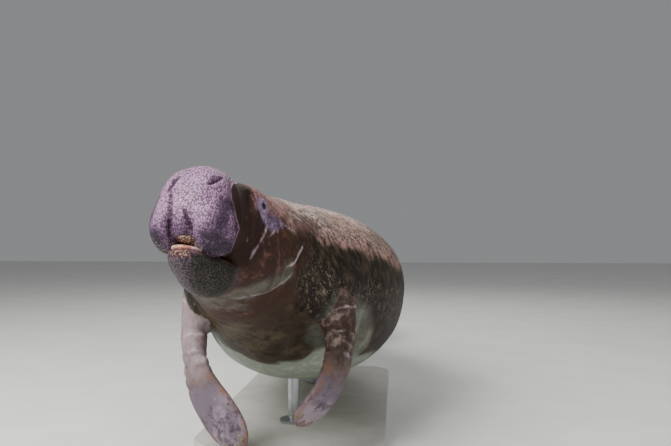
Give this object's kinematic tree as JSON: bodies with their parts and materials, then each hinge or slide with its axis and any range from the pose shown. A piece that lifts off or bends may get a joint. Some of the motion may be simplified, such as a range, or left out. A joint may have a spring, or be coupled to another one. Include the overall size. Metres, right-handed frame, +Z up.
{
  "type": "manatee",
  "caption": "Life-size swimming manatee with its head raised and flippers hanging, held over a flat base by two short rods.",
  "frame": {"origin": "centre of the underside of the display base", "axes": "+Z up, -Y towards the head, +X to the animal's left"},
  "size_m": [0.8355, 2.8654, 0.822],
  "materials": {
    "skin": "wet, wrinkled grey-brown hide",
    "muzzle_skin": "wet, finely wrinkled mauve-grey hide",
    "palate": "wet horny pad",
    "gum": "wet pale gum",
    "eye": "wet and glossy",
    "keratin": "worn horn",
    "base": "matt painted board",
    "rod": "satin"
  },
  "bodies": {
    "root": {"muzzle": "muzzle_skin", "lower_jaw": "muzzle_skin", "mouth_upper_pad": "palate", "mouth_lower_pad": "gum", "head": "skin", "eye_left": "eye", "eye_right": "eye", "neck": "skin", "shoulders": "skin", "torso": "skin", "loin": "skin", "tail_stock": "skin", "tail_paddle": "skin", "flipper_left_arm": "skin", "flipper_left_blade": "skin", "flipper_left_nail_1": "keratin", "flipper_left_nail_2": "keratin", "flipper_left_nail_3": "keratin", "flipper_right_arm": "skin", "flipper_right_blade": "skin", "flipper_right_nail_1": "keratin", "flipper_right_nail_2": "keratin", "flipper_right_nail_3": "keratin", "stand_base": "base", "stand_rod_front": "rod", "stand_rod_rear": "rod"}
  },
  "joints": []
}
